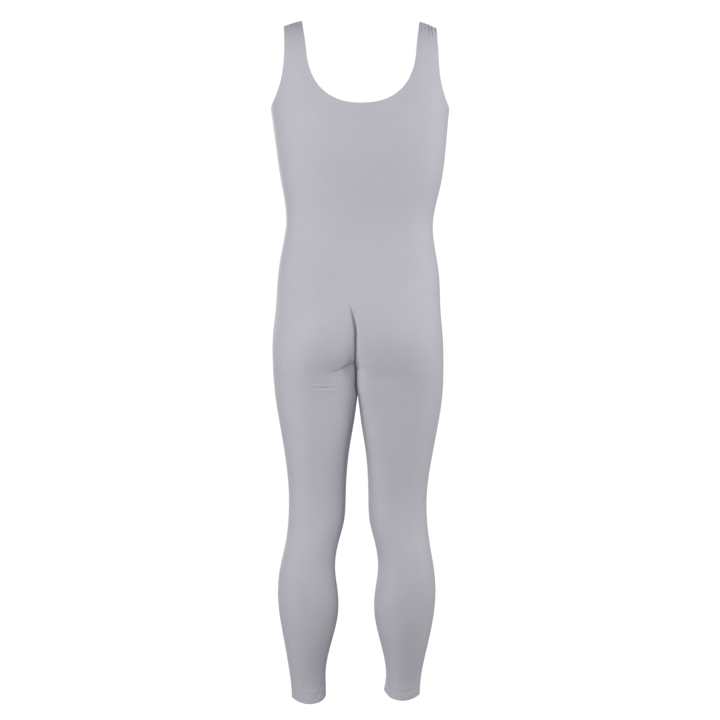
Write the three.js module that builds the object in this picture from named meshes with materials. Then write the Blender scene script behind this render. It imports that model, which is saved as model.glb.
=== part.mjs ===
// A sleeveless, full-length dance unitard in stretch jersey, hollow and filled out as it is when worn.
// Four panels, each cut in one from the shoulder seam to the ankle hem, meet at the centre, side,
// inside leg and shoulder seams. The neck, the armholes and the ankles are open.
//
// Millimetres, +Z up. The front faces -Y and the wearer's left is +X. The origin is midway between the
// two straps, at the height of the shoulders' crest.

import * as THREE from 'three';

// Cloth and seams
const wall = 1.5;
const seamGap = 0.3;

// Heights, measured down from the shoulders' crest
const backNeckDrop = 177;
const frontNeckDrop = 195;
const underarmDrop = 177;
const crotchDrop = 705;
const hemDrop = { left: 1369, right: 1361 };

// The straps. The crest is the round top of a shoulder, and the shoulder seam lies behind it.
const strapInner = { left: 116.5, right: 119 };
const strapOuter = { left: 155.5, right: 157.5 };
const shoulderSeamBehindCrest = 33;
const crestHeight = { back: 75, front: 85 };
const shoulderSlope = { left: 11, right: 13 };
const shoulderRound = 1.4;
const slopeFadesBy = 150;

// The scooped neckline: upright straps run into a round scoop that starts at scoopTop.
const scoopTop = 62;
const scoopPower = { left: 2.24, right: 2.35 };
const scoopHalf = { back: { left: 106.5, right: 111 }, front: { left: 113, right: 116 } };
const strapFlareFadesBy = 120;

// The armholes: how far each cuts in from the strap's outer end, and how square its foot is.
const armholeCut = { back: { left: 3.3, right: 0 }, front: { left: 7, right: 7 } };
const armholeCutFadesBy = 60;
const armholePower = { back: 4.3, front: 3.6 };

// The seat and the crotch: the length over which each face folds in towards the crotch point, and how
// late it does so.
const foldLength = { back: 185, front: 100 };
const foldPower = { back: 1.25, front: 2.6 };

// The hems dip over the heel: millimetres down for each millimetre back.
const hemTilt = 0.31;
const hemTiltStarts = 1180;

// Sections of a general figure. left and right are half widths, side is how far forward (-) or back
// the side seam lies, back and front are where the cloth reaches at the rear and at the front, and
// power is the superellipse's power, 2 for an ellipse and more for a squarer section.
const sections = [
  { z: 0, left: 190, right: 191, side: 0, back: 92, front: -96, power: 2.3 },
  { z: -60, left: 189, right: 190, side: 0, back: 95, front: -99, power: 2.3 },
  { z: -120, left: 186, right: 187, side: -1, back: 105, front: -110, power: 2.35 },
  { z: -177, left: 181, right: 182, side: -3, back: 112, front: -119, power: 2.35 },
  { z: -250, left: 171, right: 176, side: -7, back: 109, front: -123, power: 2.35 },
  { z: -330, left: 158.6, right: 166, side: -11, back: 94, front: -120, power: 2.3 },
  { z: -410, left: 148.6, right: 150.8, side: -14, back: 79, front: -113, power: 2.25 },
  { z: -450, left: 154.2, right: 153.8, side: -13, back: 80, front: -113, power: 2.2 },
  { z: -510, left: 163.8, right: 163.5, side: -9, back: 94, front: -116, power: 2.2 },
  { z: -580, left: 168, right: 167, side: -5, back: 114, front: -118, power: 2.2 },
  { z: -640, left: 173.5, right: 172, side: -1, back: 121, front: -114, power: 2.2 },
  { z: -700, left: 173, right: 174, side: 0, back: 109, front: -107, power: 2.15 },
  { z: -760, left: 168, right: 172, side: -1, back: 93, front: -102, power: 2.1 },
  { z: -820, left: 158, right: 163.5, side: -2, back: 82, front: -96, power: 2.05 },
  { z: -890, left: 146, right: 151, side: -3, back: 71, front: -88, power: 2.05 },
  { z: -960, left: 139, right: 142, side: -3, back: 62, front: -78, power: 2.05 },
  { z: -1015, left: 139.5, right: 143, side: -1, back: 62, front: -68, power: 2.05 },
  { z: -1063, left: 145, right: 149, side: 5, back: 68, front: -56, power: 2.05 },
  { z: -1110, left: 155, right: 157, side: 11, back: 74, front: -46, power: 2.05 },
  { z: -1160, left: 159, right: 160.5, side: 14, back: 78, front: -41, power: 2.05 },
  { z: -1210, left: 154.5, right: 156, side: 15, back: 75, front: -38, power: 2.05 },
  { z: -1260, left: 145, right: 146, side: 14, back: 66, front: -36, power: 2.05 },
  { z: -1310, left: 136, right: 135, side: 12, back: 54, front: -33, power: 2 },
  { z: -1355, left: 130, right: 130, side: 11, back: 50, front: -31, power: 1.8 },
  { z: -1400, left: 128.5, right: 131, side: 11, back: 53, front: -34, power: 1.5 },
];

// The back of the seat and thighs is flatter towards the middle: its own power on that side
const seatPowers = [
  { z: 0, seatPower: 2.3 },
  { z: -330, seatPower: 2.3 },
  { z: -480, seatPower: 2.25 },
  { z: -560, seatPower: 2.5 },
  { z: -630, seatPower: 3.5 },
  { z: -670, seatPower: 4.8 },
  { z: -705, seatPower: 6 },
  { z: -740, seatPower: 5.9 },
  { z: -780, seatPower: 4.9 },
  { z: -830, seatPower: 3.9 },
  { z: -900, seatPower: 3 },
  { z: -1000, seatPower: 2.4 },
  { z: -1060, seatPower: 2.15 },
  { z: -1120, seatPower: 2.05 },
  { z: -1180, seatPower: 2.05 },
  { z: -1400, seatPower: 2.05 },
];

// Half of the gap between the legs
const legGaps = [
  { z: -705, gap: 0 },
  { z: -735, gap: 0 },
  { z: -757, gap: 0.1 },
  { z: -774, gap: 2.1 },
  { z: -795, gap: 4.8 },
  { z: -830, gap: 10 },
  { z: -867, gap: 16 },
  { z: -915, gap: 21 },
  { z: -965, gap: 23 },
  { z: -1015, gap: 26 },
  { z: -1063, gap: 38 },
  { z: -1110, gap: 43.5 },
  { z: -1160, gap: 37.5 },
  { z: -1210, gap: 38 },
  { z: -1260, gap: 50 },
  { z: -1310, gap: 60.5 },
  { z: -1355, gap: 60.5 },
  { z: -1400, gap: 59 },
];

// The net of each panel: the drops at which certain rows start on the inner long edge and end on the
// outer one, and how many rows lead there. The necklines and armholes end level, so the rows at their
// ends are level too or lead down from them, or the net would cross itself.
const netStops = {
  back: [
    { inner: backNeckDrop, outer: underarmDrop, rows: 13 },
    { inner: crotchDrop, outer: 760, rows: 24 },
  ],
  front: [
    { inner: underarmDrop, outer: underarmDrop, rows: 11 },
    { inner: frontNeckDrop, outer: 203, rows: 3 },
    { inner: crotchDrop, outer: 760, rows: 24 },
  ],
};
const rowsToHem = 24;
const columns = 12;

// A natural cubic curve through one column of a table whose rows run downwards.
function smoothColumn(rows, column) {
  const last = rows.length - 1;
  const step = (i) => rows[i + 1].z - rows[i].z;
  const slope = (i) => (rows[i + 1][column] - rows[i][column]) / step(i);
  const bend = new Array(rows.length).fill(0);
  const weight = new Array(rows.length).fill(0);
  for (let i = 1; i < last; i++) {
    const pivot = 2 * (step(i - 1) + step(i)) - step(i - 1) * weight[i - 1];
    weight[i] = step(i) / pivot;
    bend[i] = (6 * (slope(i) - slope(i - 1)) - step(i - 1) * bend[i - 1]) / pivot;
  }
  for (let i = last - 1; i > 0; i--) {
    bend[i] -= weight[i] * bend[i + 1];
  }
  return (z) => {
    const below = rows.findIndex((row) => row.z < z);
    const i = below < 0 ? last - 1 : Math.max(0, below - 1);
    const d = z - rows[i].z;
    const start = slope(i) - (step(i) * (2 * bend[i] + bend[i + 1])) / 6;
    return rows[i][column] + d * (start + d * (bend[i] / 2 + (d * (bend[i + 1] - bend[i])) / (6 * step(i))));
  };
}

const figure = {
  left: smoothColumn(sections, 'left'),
  right: smoothColumn(sections, 'right'),
  side: smoothColumn(sections, 'side'),
  back: smoothColumn(sections, 'back'),
  front: smoothColumn(sections, 'front'),
  power: smoothColumn(sections, 'power'),
  seatPower: smoothColumn(seatPowers, 'seatPower'),
  gap: smoothColumn(legGaps, 'gap'),
};

const otherFace = { back: 'front', front: 'back' };
const fade = (distance, reach) => Math.max(0, 1 - distance / reach) ** 2;

// How far below the crest a run of cloth has come, and how much of its depth it has reached there.
function dropAt(face, run) {
  const crest = crestHeight[face];
  const quarter = (crest * Math.PI) / 2;
  if (run >= quarter) {
    return { drop: crest + run - quarter, depth: 1 };
  }
  return { drop: crest * (1 - Math.cos(run / crest)), depth: Math.sin(run / crest) };
}

function runAt(face, drop) {
  const crest = crestHeight[face];
  return drop >= crest ? (crest * Math.PI) / 2 + drop - crest : crest * Math.acos(1 - drop / crest);
}

// The half section at one height: a superellipse whose centre moves out from the middle of the body to
// the middle of the leg as the seat or the front folds in.
function halfSection(half, face, drop) {
  const z = -drop;
  const width = figure[half](z);
  const side = figure.side(z);
  const reach = Math.abs(figure[face](z) - side);
  const power = figure.power(z);
  const form = { side, reach, power, innerPower: face === 'back' ? figure.seatPower(z) : power };
  if (drop >= crotchDrop) {
    const gap = Math.max(0, figure.gap(z));
    return { centre: (width + gap) / 2, radius: (width - gap) / 2, folded: 1, ...form };
  }
  const begun = Math.max(0, 1 - (crotchDrop - drop) / foldLength[face]) ** foldPower[face];
  const folded = face === 'back' ? begun : Math.sin((begun * Math.PI) / 2);
  const radius = width / (1 + folded);
  return { centre: width - radius, radius, folded, ...form };
}

const angleAt = (across, section) =>
  Math.asin(Math.min(1, Math.max(0, across / section.radius) ** (section.power / 2)));

// The angle at which a panel starts: at the neckline, then the centre seam, then the inside leg seam.
function startAngle(half, face, run) {
  if (run < 0) {
    return startAngle(half, otherFace[face], -run);
  }
  const { drop } = dropAt(face, run);
  const section = halfSection(half, face, drop);
  const neckDrop = face === 'back' ? backNeckDrop : frontNeckDrop;
  if (drop < neckDrop) {
    const scooped = Math.max(0, drop - scoopTop) / (neckDrop - scoopTop);
    const power = scoopPower[half];
    const scoop = scoopHalf[face][half];
    const flare = (strapInner[half] - scoop) * fade(drop, strapFlareFadesBy);
    return angleAt(scoop * (1 - scooped ** power) ** (1 / power) + flare, section);
  }
  return -Math.asin(section.folded ** (section.innerPower / 2));
}

// The angle at which a panel ends: at the armhole, then a quarter turn round at the side seam.
function endAngle(half, face, run) {
  if (run < 0) {
    return endAngle(half, otherFace[face], -run);
  }
  const { drop } = dropAt(face, run);
  if (drop >= underarmDrop) {
    return Math.PI / 2;
  }
  const cut = armholeCut[face][half] * (1 - fade(drop, armholeCutFadesBy));
  const inset = strapOuter[half] - cut;
  const toUnderarm = (drop / underarmDrop) ** armholePower[face];
  const across = inset + (figure[half](-underarmDrop) - inset) * toUnderarm;
  return angleAt(across, halfSection(half, face, drop));
}

// A point of the outer face, drawn for the left half: the right half is mirrored at the end.
function surfacePoint(half, face, angle, run) {
  if (run < 0) {
    return surfacePoint(half, otherFace[face], angle, -run);
  }
  const { drop, depth } = dropAt(face, run);
  const section = halfSection(half, face, drop);
  const power = angle < 0 ? section.innerPower : section.power;
  const round = (value) => Math.sign(value) * Math.abs(value) ** (2 / power);
  const x = seamGap / 2 + section.centre + section.radius * round(Math.sin(angle));
  const out = seamGap / 2 + section.reach * depth * round(Math.cos(angle));
  const y = section.side + (face === 'back' ? out : -out);
  const alongShoulder = Math.max(0, (x - strapInner[half]) / (strapOuter[half] - strapInner[half]));
  const slope = shoulderSlope[half] * alongShoulder ** shoulderRound * fade(drop, slopeFadesBy);
  const tilt = hemTilt * THREE.MathUtils.smoothstep(drop, hemTiltStarts, hemDrop[half]);
  return new THREE.Vector3(x, y, -drop - slope - tilt * (y - section.side));
}

function outwardNormal(half, face, angle, run) {
  const turn = 0.004;
  const length = 0.5;
  const across = surfacePoint(half, face, angle + turn, run).sub(surfacePoint(half, face, angle - turn, run));
  const down = surfacePoint(half, face, angle, run + length).sub(surfacePoint(half, face, angle, run - length));
  const normal = across.cross(down).normalize();
  return face === 'back' ? normal : normal.negate();
}

// Runs that divide one edge of a panel into equal lengths.
function evenRuns(pointAt, start, end, count) {
  const samples = 3000;
  const lengths = [0];
  let previous = pointAt(start);
  for (let i = 1; i <= samples; i++) {
    const next = pointAt(start + ((end - start) * i) / samples);
    lengths.push(lengths[i - 1] + next.distanceTo(previous));
    previous = next;
  }
  const runs = [];
  for (let k = 0; k <= count; k++) {
    const wanted = (lengths[samples] * k) / count;
    const i = Math.max(1, lengths.findIndex((length) => length >= wanted - 1e-9));
    const part = (wanted - lengths[i - 1]) / (lengths[i] - lengths[i - 1]);
    runs.push(start + ((end - start) * (i - 1 + Math.max(0, part))) / samples);
  }
  return runs;
}

function panelRuns(half, face) {
  const inner = (run) => surfacePoint(half, face, startAngle(half, face, run), run);
  const outer = (run) => surfacePoint(half, face, endAngle(half, face, run), run);
  const seam = shoulderSeamBehindCrest;
  const top = face === 'back' ? seam + seamGap / 2 : seamGap / 2 - seam;
  const stops = [...netStops[face], { inner: hemDrop[half], outer: hemDrop[half], rows: rowsToHem }];
  const join = (pointAt, edge) => {
    const ends = [top, ...stops.map((stop) => runAt(face, stop[edge]))];
    return [top, ...stops.flatMap((stop, i) => evenRuns(pointAt, ends[i], ends[i + 1], stop.rows).slice(1))];
  };
  return { inner: join(inner, 'inner'), outer: join(outer, 'outer') };
}

// One panel: a net of points on its outer face and the same net moved in by the wall.
function panelGeometry(half, face) {
  const runs = panelRuns(half, face);
  const rows = runs.inner.length - 1;
  const positions = [];
  const mirror = half === 'left' ? 1 : -1;
  for (let i = 0; i <= rows; i++) {
    const start = startAngle(half, face, runs.inner[i]);
    const end = endAngle(half, face, runs.outer[i]);
    for (let j = 0; j <= columns; j++) {
      const part = j / columns;
      const angle = start + (end - start) * part;
      const run = runs.inner[i] + (runs.outer[i] - runs.inner[i]) * part;
      const point = surfacePoint(half, face, angle, run);
      const inside = point.clone().addScaledVector(outwardNormal(half, face, angle, run), -wall);
      positions.push(mirror * point.x, point.y, point.z, mirror * inside.x, inside.y, inside.z);
    }
  }

  const outside = (i, j) => 2 * (i * (columns + 1) + j);
  const inside = (i, j) => outside(i, j) + 1;
  const indices = [];
  const reversed = (half === 'left') === (face === 'back');
  const quad = (a, b, c, d) => {
    const corners = reversed ? [a, c, b, a, d, c] : [a, b, c, a, c, d];
    indices.push(...corners);
  };
  for (let i = 0; i < rows; i++) {
    for (let j = 0; j < columns; j++) {
      quad(outside(i, j), outside(i + 1, j), outside(i + 1, j + 1), outside(i, j + 1));
      quad(inside(i, j), inside(i, j + 1), inside(i + 1, j + 1), inside(i + 1, j));
    }
    quad(outside(i, 0), inside(i, 0), inside(i + 1, 0), outside(i + 1, 0));
    quad(outside(i, columns), outside(i + 1, columns), inside(i + 1, columns), inside(i, columns));
  }
  for (let j = 0; j < columns; j++) {
    quad(outside(0, j), outside(0, j + 1), inside(0, j + 1), inside(0, j));
    quad(outside(rows, j), inside(rows, j), inside(rows, j + 1), outside(rows, j + 1));
  }

  const geometry = new THREE.BufferGeometry();
  geometry.setAttribute('position', new THREE.Float32BufferAttribute(positions, 3));
  geometry.setIndex(indices);
  geometry.computeVertexNormals();
  return geometry;
}

const unitard = new THREE.Group();
for (const face of ['back', 'front']) {
  for (const half of ['left', 'right']) {
    const jersey = new THREE.MeshStandardMaterial({ color: 0xb6b5bf, roughness: 0.8, metalness: 0 });
    const panel = new THREE.Mesh(panelGeometry(half, face), jersey);
    panel.name = `${face}_${half}`;
    unitard.add(panel);
  }
}

export default unitard;
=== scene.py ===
import math

import bmesh
import bpy
import numpy as np
from mathutils import Matrix, Vector
from mathutils.kdtree import KDTree


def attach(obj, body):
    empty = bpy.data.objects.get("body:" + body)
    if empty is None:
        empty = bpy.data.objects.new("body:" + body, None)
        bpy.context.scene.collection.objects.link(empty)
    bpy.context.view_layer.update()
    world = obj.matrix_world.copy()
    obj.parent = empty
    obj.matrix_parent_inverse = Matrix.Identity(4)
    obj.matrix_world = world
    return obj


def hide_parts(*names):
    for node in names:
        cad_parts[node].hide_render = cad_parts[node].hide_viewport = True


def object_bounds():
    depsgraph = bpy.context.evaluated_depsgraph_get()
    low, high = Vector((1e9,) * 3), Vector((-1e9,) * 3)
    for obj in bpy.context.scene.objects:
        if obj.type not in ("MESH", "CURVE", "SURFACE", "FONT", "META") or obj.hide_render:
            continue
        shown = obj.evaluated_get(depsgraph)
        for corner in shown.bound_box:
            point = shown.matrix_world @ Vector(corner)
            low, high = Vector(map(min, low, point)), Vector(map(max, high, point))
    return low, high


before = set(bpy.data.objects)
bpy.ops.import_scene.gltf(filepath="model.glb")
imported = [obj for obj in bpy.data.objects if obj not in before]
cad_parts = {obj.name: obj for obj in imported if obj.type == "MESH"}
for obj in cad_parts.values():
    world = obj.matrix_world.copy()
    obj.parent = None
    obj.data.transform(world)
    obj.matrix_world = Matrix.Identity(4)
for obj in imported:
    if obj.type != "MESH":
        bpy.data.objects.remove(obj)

cad_box = [list(corner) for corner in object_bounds()]
MM = 0.001
QUARTER = math.pi / 2

# Heights, measured down from the shoulders' crest
BACK_NECK_DROP = 177
FRONT_NECK_DROP = 195
UNDERARM_DROP = 177
CROTCH_DROP = 705
LEGS_PART_DROP = 770
HEM_DROP = {"left": 1369, "right": 1361}

# The straps. The crest is the round top of a shoulder, and the shoulder seam lies behind it. A run is a
# length of cloth measured from the crest, down the back or down the front.
STRAP_INNER = {"left": 116.5, "right": 119}
STRAP_OUTER = {"left": 155.5, "right": 157.5}
SEAM_BEHIND_CREST = 33
CREST_HEIGHT = {"back": 75, "front": 85}
SHOULDER_SLOPE = {"left": 11, "right": 13}
SHOULDER_ROUND = 1.4
SLOPE_FADES_BY = 150

# The scooped neckline and the armholes
SCOOP_TOP = 62
SCOOP_POWER = {"left": 2.24, "right": 2.35}
SCOOP_HALF = {"back": {"left": 106.5, "right": 111}, "front": {"left": 113, "right": 116}}
STRAP_FLARE_FADES_BY = 120
NECK_DROP = {"back": BACK_NECK_DROP, "front": FRONT_NECK_DROP}
ARMHOLE_CUT = {"back": {"left": 3.3, "right": 0}, "front": {"left": 7, "right": 7}}
ARMHOLE_CUT_FADES_BY = 60
ARMHOLE_POWER = {"back": 4.3, "front": 3.6}

# The seat and the crotch fold in, and the hems dip over the heel.
FOLD_LENGTH = {"back": 185, "front": 100}
FOLD_POWER = {"back": 1.25, "front": 2.6}
HEM_TILT = 0.31
HEM_TILT_STARTS = 1180
HEM_CORNER = 9              # the hems dip at their two seams too, as if these lay that much further back
HEM_CORNER_WIDE = 12

# Sections of a general figure: how far below the crest each lies, its half widths, how far forward (-)
# or back the side seam is, where the back and the front reach, and the superellipse's power.
SECTION_COLUMNS = ("drop", "left", "right", "side", "back", "front", "power")
SECTIONS = [
    (0, 190, 191, 0, 92, -96, 2.3),
    (60, 189, 190, 0, 95, -99, 2.3),
    (120, 186, 187, -1, 105, -110, 2.35),
    (177, 181, 182, -3, 112, -119, 2.35),
    (250, 171, 176, -7, 109, -123, 2.35),
    (330, 158.6, 166, -11, 94, -120, 2.3),
    (410, 148.6, 150.8, -14, 79, -113, 2.25),
    (450, 154.2, 153.8, -13, 80, -113, 2.2),
    (510, 163.8, 163.5, -9, 94, -116, 2.2),
    (580, 168, 167, -5, 114, -118, 2.2),
    (640, 173.5, 172, -1, 121, -114, 2.2),
    (700, 173, 174, 0, 109, -107, 2.15),
    (760, 168, 172, -1, 93, -102, 2.1),
    (820, 158, 163.5, -2, 82, -96, 2.05),
    (890, 146, 151, -3, 71, -88, 2.05),
    (960, 139, 142, -3, 62, -78, 2.05),
    (1015, 139.5, 143, -1, 62, -68, 2.05),
    (1063, 145, 149, 5, 68, -56, 2.05),
    (1110, 155, 157, 11, 74, -46, 2.05),
    (1160, 159, 160.5, 14, 78, -41, 2.05),
    (1210, 154.5, 156, 15, 75, -38, 2.05),
    (1260, 145, 146, 14, 66, -36, 2.05),
    (1310, 136, 135, 12, 54, -33, 2),
    (1355, 130, 130, 11, 50, -31, 1.8),
    (1400, 128.5, 131, 11, 53, -34, 1.5),
]

# Half of the gap between the legs
LEG_GAPS = [
    (705, 0), (735, 0), (757, 0.1), (774, 2.1), (795, 4.8), (830, 10), (867, 16), (915, 21), (965, 23),
    (1015, 26), (1063, 38), (1110, 43.5), (1160, 37.5), (1210, 38), (1260, 50), (1310, 60.5),
    (1355, 60.5), (1400, 59),
]

# The back of the seat and thighs is flatter towards the middle: its own power on that side
SEAT_POWERS = [
    (0, 2.3), (330, 2.3), (480, 2.25), (560, 2.5), (630, 3.5), (670, 4.8), (705, 6), (740, 5.9),
    (780, 4.9), (830, 3.9), (900, 3), (1000, 2.4), (1060, 2.15), (1120, 2.05), (1180, 2.05), (1400, 2.05),
]

# The cloth and how it is sewn
JERSEY_THICK = 0.8
SEAM_ALLOWANCE = 6          # overlocked, and laid open inside the garment
ALLOWANCE_THICK = 0.7
THREAD_RADIUS = 0.17

# Each turned edge: how far the cloth turns in, how far its double part stands out, how far in the
# needle rows are, how deep they draw the cloth in, how much it puffs out above them, a stitch's
# length, how far the needle moves to each side, and the steps that the edge is drawn in
TURNED_COLUMNS = ("which", "turning", "stands", "rows", "drawn_in", "puffs", "stitch", "zigzag", "steps")
TURNED_ROWS = [
    ("neck", 9, 0.12, (7.2,), 0.22, 0.05, 2.6, 1.1, 140),
    ("armhole", 9, 0.12, (7.2,), 0.22, 0.05, 2.6, 1.1, 120),
    ("hem", 18.5, 0.30, (14.4, 17.4), 0.36, 0.40, 3.2, 0, 110),
]
TURNED_EDGES = {row[0]: dict(zip(TURNED_COLUMNS, row)) for row in TURNED_ROWS}
TURNED_STEP_EASE = 1.5      # how near the end of the double part the cloth steps up to it
NEEDLE_WIDE = 1.3
PUFF_ABOVE = 3.2
PUFF_WIDE = 3.0

# The net of each panel: the drops at which certain rows start on the inner long edge and end on the
# outer one, and how many rows lead there. The necklines and armholes end level, so the rows at their
# ends are level too or lead down from them, or the net would cross itself. ROWS_TO_HEM more lead on to
# the hem, and between the two FINE_DROPS the rows lie closer, for the fold.
NET_STOPS = {
    "back": [(BACK_NECK_DROP, UNDERARM_DROP, 80), (CROTCH_DROP, 760, 230)],
    "front": [(UNDERARM_DROP, UNDERARM_DROP, 74), (FRONT_NECK_DROP, 203, 18), (CROTCH_DROP, 760, 190)],
}
ROWS_TO_HEM = {"back": 195, "front": 165}
PANEL_COLUMNS = {"back": 88, "front": 76}
FINE_DROPS = {"back": (560, 765), "front": (625, 740)}
FINE_EASE = 25
EDGE_SAMPLES = 3000
ROW_SAMPLES = 300

# How much closer the net's rows and columns lie at some places, and the length in which that fades
ROWS_AT_SEAM = (4, 4)
ROWS_AT_HEM = (3, 4)
ROWS_IN_FOLDS = 3
ROWS_AT_NEEDLES = 6
NEEDLES_ABOVE_HEM = 17
NEEDLES_SPREAD = 9
COLUMNS_AT_INNER = (5, 6)
COLUMNS_AT_OUTER = (6, 2.5)
COLUMNS_IN_FOLD = (1.2, 35)

OTHER_FACE = {"back": "front", "front": "back"}
# Which way each face lies along Y, and each half along X
FACE_WAY = {"back": 1, "front": -1}
WAY = {"left": 1, "right": -1}


def smooth_curve(at, values):
    """A natural cubic curve through some values."""
    at, values = np.array(at, float), np.array(values, float)
    step = np.diff(at)
    slope = np.diff(values) / step
    system = np.eye(len(at))
    target = np.zeros(len(at))
    for i in range(1, len(at) - 1):
        system[i, i - 1:i + 2] = step[i - 1], 2 * (step[i - 1] + step[i]), step[i]
        target[i] = 6 * (slope[i] - slope[i - 1])
    bend = np.linalg.solve(system, target)

    def value(x):
        i = np.clip(np.searchsorted(at, x, side="right") - 1, 0, len(at) - 2)
        d = x - at[i]
        start = slope[i] - step[i] * (2 * bend[i] + bend[i + 1]) / 6
        return values[i] + d * (start + d * (bend[i] / 2 + d * (bend[i + 1] - bend[i]) / (6 * step[i])))

    return value


def curves_of(columns, rows):
    by_column = dict(zip(columns, zip(*rows)))
    return {name: smooth_curve(by_column["drop"], by_column[name]) for name in columns[1:]}


figure = {
    **curves_of(SECTION_COLUMNS, SECTIONS),
    **curves_of(("drop", "gap"), LEG_GAPS),
    **curves_of(("drop", "seat_power"), SEAT_POWERS),
}


def smooth_step(x, start, end):
    t = np.clip((x - start) / (end - start), 0, 1)
    return t * t * (3 - 2 * t)


def fade(distance, reach):
    return np.maximum(0, 1 - distance / reach) ** 2


def up_to(distance, end, ease):
    """One before an end and nought past it, with a soft step between."""
    return smooth_step(-distance, -end - ease, ease - end)


def drop_at(face, run):
    """How far below the crest a run of cloth has come, and how much of its depth it has reached."""
    crest = CREST_HEIGHT[face]
    quarter = crest * QUARTER
    turned = np.minimum(run, quarter) / crest
    return crest * (1 - np.cos(turned)) + np.maximum(0, run - quarter), np.sin(turned)


def run_at(face, drop):
    crest = CREST_HEIGHT[face]
    return crest * QUARTER + drop - crest if drop >= crest else crest * math.acos(1 - drop / crest)


def half_section(half, face, drop):
    """The half section at one height, whose centre moves out to the leg as the seat folds in."""
    width = figure[half](drop)
    side = figure["side"](drop)
    gap = np.maximum(0, figure["gap"](drop))
    folded = np.clip(1 - (CROTCH_DROP - drop) / FOLD_LENGTH[face], 0, 1) ** FOLD_POWER[face]
    if face == "front":
        folded = np.sin(folded * QUARTER)
    joined = drop < CROTCH_DROP
    radius = np.where(joined, width / (1 + folded), (width - gap) / 2)
    return {
        "centre": np.where(joined, width - radius, (width + gap) / 2),
        "radius": radius,
        "folded": np.where(joined, folded, 1),
        "side": side,
        "reach": np.abs(figure[face](drop) - side),
        "power": figure["power"](drop),
        "inner_power": figure["seat_power" if face == "back" else "power"](drop),
    }


def angle_at(across, section):
    return np.arcsin(np.clip(across / section["radius"], 0, 1) ** (section["power"] / 2))


def by_face(face, run, measure):
    """A measure where the run is past the crest, taken from the other face where it isn't."""
    here, over = measure(face, np.abs(run)), measure(OTHER_FACE[face], np.abs(run))
    past = run >= 0 if here.ndim == np.ndim(run) else (run >= 0)[..., None]
    return np.where(past, here, over)


def start_angle(half, face, run):
    """The angle at which a panel starts: the neckline, the centre seam, then the inside leg seam."""
    def measure(face, run):
        drop = drop_at(face, run)[0]
        section = half_section(half, face, drop)
        neck, scoop = NECK_DROP[face], SCOOP_HALF[face][half]
        scooped = np.clip((drop - SCOOP_TOP) / (neck - SCOOP_TOP), 0, 1)
        across = scoop * (1 - scooped ** SCOOP_POWER[half]) ** (1 / SCOOP_POWER[half])
        across = across + (STRAP_INNER[half] - scoop) * fade(drop, STRAP_FLARE_FADES_BY)
        seam = -np.arcsin(section["folded"] ** (section["inner_power"] / 2))
        return np.where(drop < neck, angle_at(across, section), seam)
    return by_face(face, run, measure)


def end_angle(half, face, run):
    """The angle at which a panel ends: the armhole, then a quarter turn round at the side seam."""
    def measure(face, run):
        drop = drop_at(face, run)[0]
        inset = STRAP_OUTER[half] - ARMHOLE_CUT[face][half] * (1 - fade(drop, ARMHOLE_CUT_FADES_BY))
        widening = np.minimum(1, drop / UNDERARM_DROP) ** ARMHOLE_POWER[face]
        across = inset + (figure[half](UNDERARM_DROP) - inset) * widening
        armhole = angle_at(across, half_section(half, face, drop))
        return np.where(drop >= UNDERARM_DROP, QUARTER, armhole)
    return by_face(face, run, measure)


def body_point(half, face, angle, run):
    """Points of the panel's form, drawn for the left half."""
    def measure(face, run):
        drop, depth = drop_at(face, run)
        section = half_section(half, face, drop)
        power = np.where(angle < 0, section["inner_power"], section["power"])

        def rounded(value):
            return np.sign(value) * np.abs(value) ** (2 / power)

        x = section["centre"] + section["radius"] * rounded(np.sin(angle))
        out = section["reach"] * depth * rounded(np.cos(angle))
        y = section["side"] + FACE_WAY[face] * out
        strap = STRAP_OUTER[half] - STRAP_INNER[half]
        along_shoulder = np.maximum(0, (x - STRAP_INNER[half]) / strap)
        slope = SHOULDER_SLOPE[half] * along_shoulder ** SHOULDER_ROUND * fade(drop, SLOPE_FADES_BY)
        tilt = HEM_TILT * smooth_step(drop, HEM_TILT_STARTS, HEM_DROP[half])
        lean = y - section["side"]
        lean = lean + HEM_CORNER * np.exp(-(lean / HEM_CORNER_WIDE) ** 2)
        return np.stack([x, y, -drop - slope - tilt * lean], axis=-1)
    return by_face(face, run, measure)


def unit(vectors):
    return vectors / np.maximum(np.linalg.norm(vectors, axis=-1, keepdims=True), 1e-12)


def step_lengths(points):
    """The distances between the points of a line, or of each row of a net."""
    return np.linalg.norm(np.diff(points, axis=-2), axis=-1)


def running_total(lengths):
    return np.concatenate([np.zeros_like(lengths[..., :1]), np.cumsum(lengths, axis=-1)], axis=-1)


def from_segments(at, start, step):
    """How far along segments points lie, as a share, and how they lie from the nearest place there."""
    part = ((at - start) * step).sum(-1) / (step ** 2).sum(-1)
    return part, at - start - np.clip(part, 0, 1)[..., None] * step


def body_slopes(half, face, angle, run):
    """How the form moves with a small turn and with a small run."""
    turn, length = 0.004, 0.5
    across = body_point(half, face, angle + turn, run) - body_point(half, face, angle - turn, run)
    down = body_point(half, face, angle, run + length) - body_point(half, face, angle, run - length)
    return across / (2 * turn), down / (2 * length)


def body_normal(half, face, angle, run):
    across, down = body_slopes(half, face, angle, run)
    return unit(np.cross(across, down)) * FACE_WAY[face]


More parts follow.
